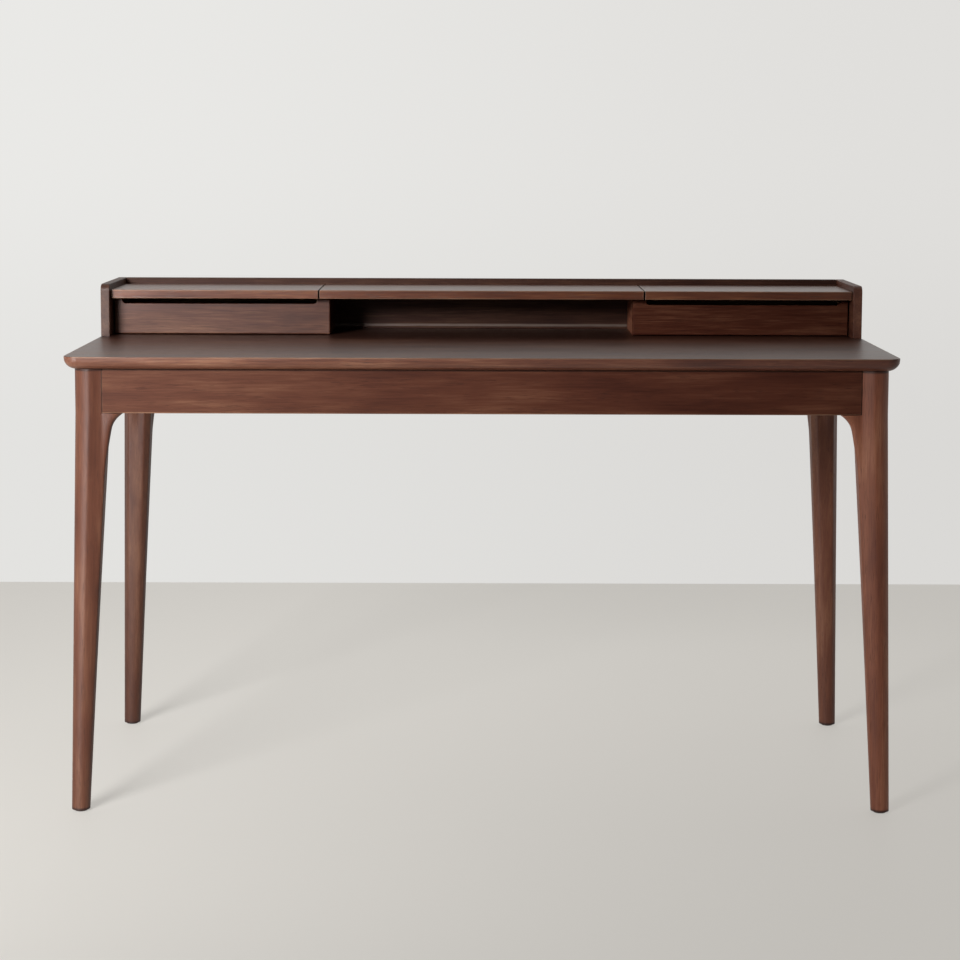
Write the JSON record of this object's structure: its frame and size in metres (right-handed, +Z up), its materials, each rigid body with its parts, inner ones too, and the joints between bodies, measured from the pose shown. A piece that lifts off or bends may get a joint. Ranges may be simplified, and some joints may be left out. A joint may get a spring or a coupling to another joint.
{
  "type": "writing desk",
  "caption": "Walnut-stained writing desk on tapered round legs, with a low hutch: shallow drawers with finger pulls, hinged lids over them and an open cubby between.",
  "frame": {"origin": "on the floor, under the middle of the desk's bounding box", "axes": "+X to the right along the width, +Y from the front to the back, +Z up; the drawers face -Y"},
  "size_m": [1.4, 0.6, 0.874],
  "materials": {
    "walnut": "dark walnut stain under satin lacquer",
    "beech": "planed beech, unstained",
    "drawer_wood": "planed light wood, clear sealed",
    "steel": "zinc plated",
    "brass": "turned brass",
    "nylon": "moulded nylon",
    "felt": "pressed felt"
  },
  "bodies": {
    "desk": {"desk_top": "walnut", "front_left_leg": "walnut", "front_right_leg": "walnut", "rear_left_leg": "walnut", "rear_right_leg": "walnut", "front_apron": "walnut", "rear_apron": "walnut", "left_apron": "walnut", "right_apron": "walnut", "left_side_panel": "walnut", "right_side_panel": "walnut", "back_panel": "walnut", "left_divider": "walnut", "right_divider": "walnut", "centre_board": "walnut", "front_left_corner_block": "beech", "front_right_corner_block": "beech", "rear_left_corner_block": "beech", "rear_right_corner_block": "beech", "centre_bearer": "beech", "left_inner_lid_rest": "beech", "left_outer_lid_rest": "beech", "right_inner_lid_rest": "beech", "right_outer_lid_rest": "beech", "left_inner_runner": "beech", "left_outer_runner": "beech", "right_inner_runner": "beech", "right_outer_runner": "beech", "drawer_stops": "beech", "apron_dowels": "beech", "hutch_dowels": "beech", "corner_bolts": "steel", "corner_washers": "steel", "corner_nuts": "steel", "top_angles": "steel", "top_angle_screws": "steel", "hutch_screws": "steel", "runner_screws": "steel", "lid_bushes": "brass", "foot_glides": "nylon", "lid_rest_pads": "felt"},
    "left_drawer": {"left_drawer_front": "walnut", "left_drawer_inner_side": "drawer_wood", "left_drawer_outer_side": "drawer_wood", "left_drawer_back": "drawer_wood", "left_drawer_bottom": "drawer_wood", "left_drawer_dowels": "beech"},
    "right_drawer": {"right_drawer_front": "walnut", "right_drawer_inner_side": "drawer_wood", "right_drawer_outer_side": "drawer_wood", "right_drawer_back": "drawer_wood", "right_drawer_bottom": "drawer_wood", "right_drawer_dowels": "beech"},
    "left_lid": {"left_lid": "walnut", "left_lid_pins": "brass"},
    "right_lid": {"right_lid": "walnut", "right_lid_pins": "brass"}
  },
  "joints": [
    {"name": "left_drawer_slide", "type": "slide", "parent": "desk", "child": "left_drawer", "axis": [0, -1, 0], "range_m": [0, 0.09]},
    {"name": "left_lid_hinge", "type": "hinge", "parent": "desk", "child": "left_lid", "pos_m": [-0.4923, 0.2755, 0.855], "axis": [-1, 0, 0], "range_deg": [0, 93]},
    {"name": "right_drawer_slide", "type": "slide", "parent": "desk", "child": "right_drawer", "axis": [0, -1, 0], "range_m": [0, 0.09]},
    {"name": "right_lid_hinge", "type": "hinge", "parent": "desk", "child": "right_lid", "pos_m": [0.4923, 0.2755, 0.855], "axis": [-1, 0, 0], "range_deg": [0, 93]}
  ]
}
